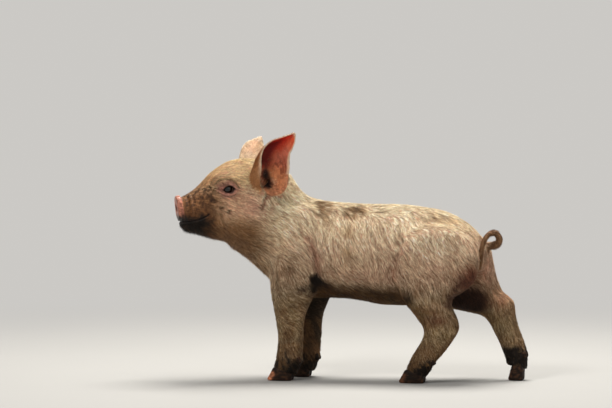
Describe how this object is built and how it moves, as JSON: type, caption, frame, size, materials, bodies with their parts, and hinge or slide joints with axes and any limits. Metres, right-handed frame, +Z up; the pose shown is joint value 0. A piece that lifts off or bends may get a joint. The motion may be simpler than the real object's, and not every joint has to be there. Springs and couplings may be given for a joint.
{
  "type": "piglet figure",
  "caption": "Life-size museum figure of a young pig standing with one hind leg stretched back, head turned to its left, ears pricked and tail curled.",
  "frame": {"origin": "on the floor, under the middle of the bounding box", "axes": "+X towards the tail, so the animal faces -X; +Y towards its right side; +Z up"},
  "size_m": [0.452, 0.1534, 0.323],
  "materials": {
    "hide": "pale pink-cream hide under short sparse bristle",
    "ear_skin": "thin bare ear skin",
    "nose": "moist bare nose skin",
    "horn": "dull horn with dried mud",
    "eye": "wet"
  },
  "bodies": {
    "root": {"head": "hide", "nose_disc": "nose", "neck": "hide", "ear_left": "ear_skin", "eye_left": "eye", "ear_right": "ear_skin", "eye_right": "eye", "fore_left_claw_outer": "horn", "fore_left_dewclaw_outer": "horn", "fore_left_claw_inner": "horn", "fore_left_dewclaw_inner": "horn", "fore_left_leg": "hide", "fore_right_claw_inner": "horn", "fore_right_dewclaw_inner": "horn", "fore_right_claw_outer": "horn", "fore_right_dewclaw_outer": "horn", "fore_right_leg": "hide", "hind_left_claw_outer": "horn", "hind_left_dewclaw_outer": "horn", "hind_left_claw_inner": "horn", "hind_left_dewclaw_inner": "horn", "hind_left_leg": "hide", "hind_right_claw_inner": "horn", "hind_right_dewclaw_inner": "horn", "hind_right_claw_outer": "horn", "hind_right_dewclaw_outer": "horn", "hind_right_leg": "hide", "shoulder_left": "hide", "ham_left": "hide", "shoulder_right": "hide", "ham_right": "hide", "trunk": "hide", "tail": "hide"}
  },
  "joints": []
}
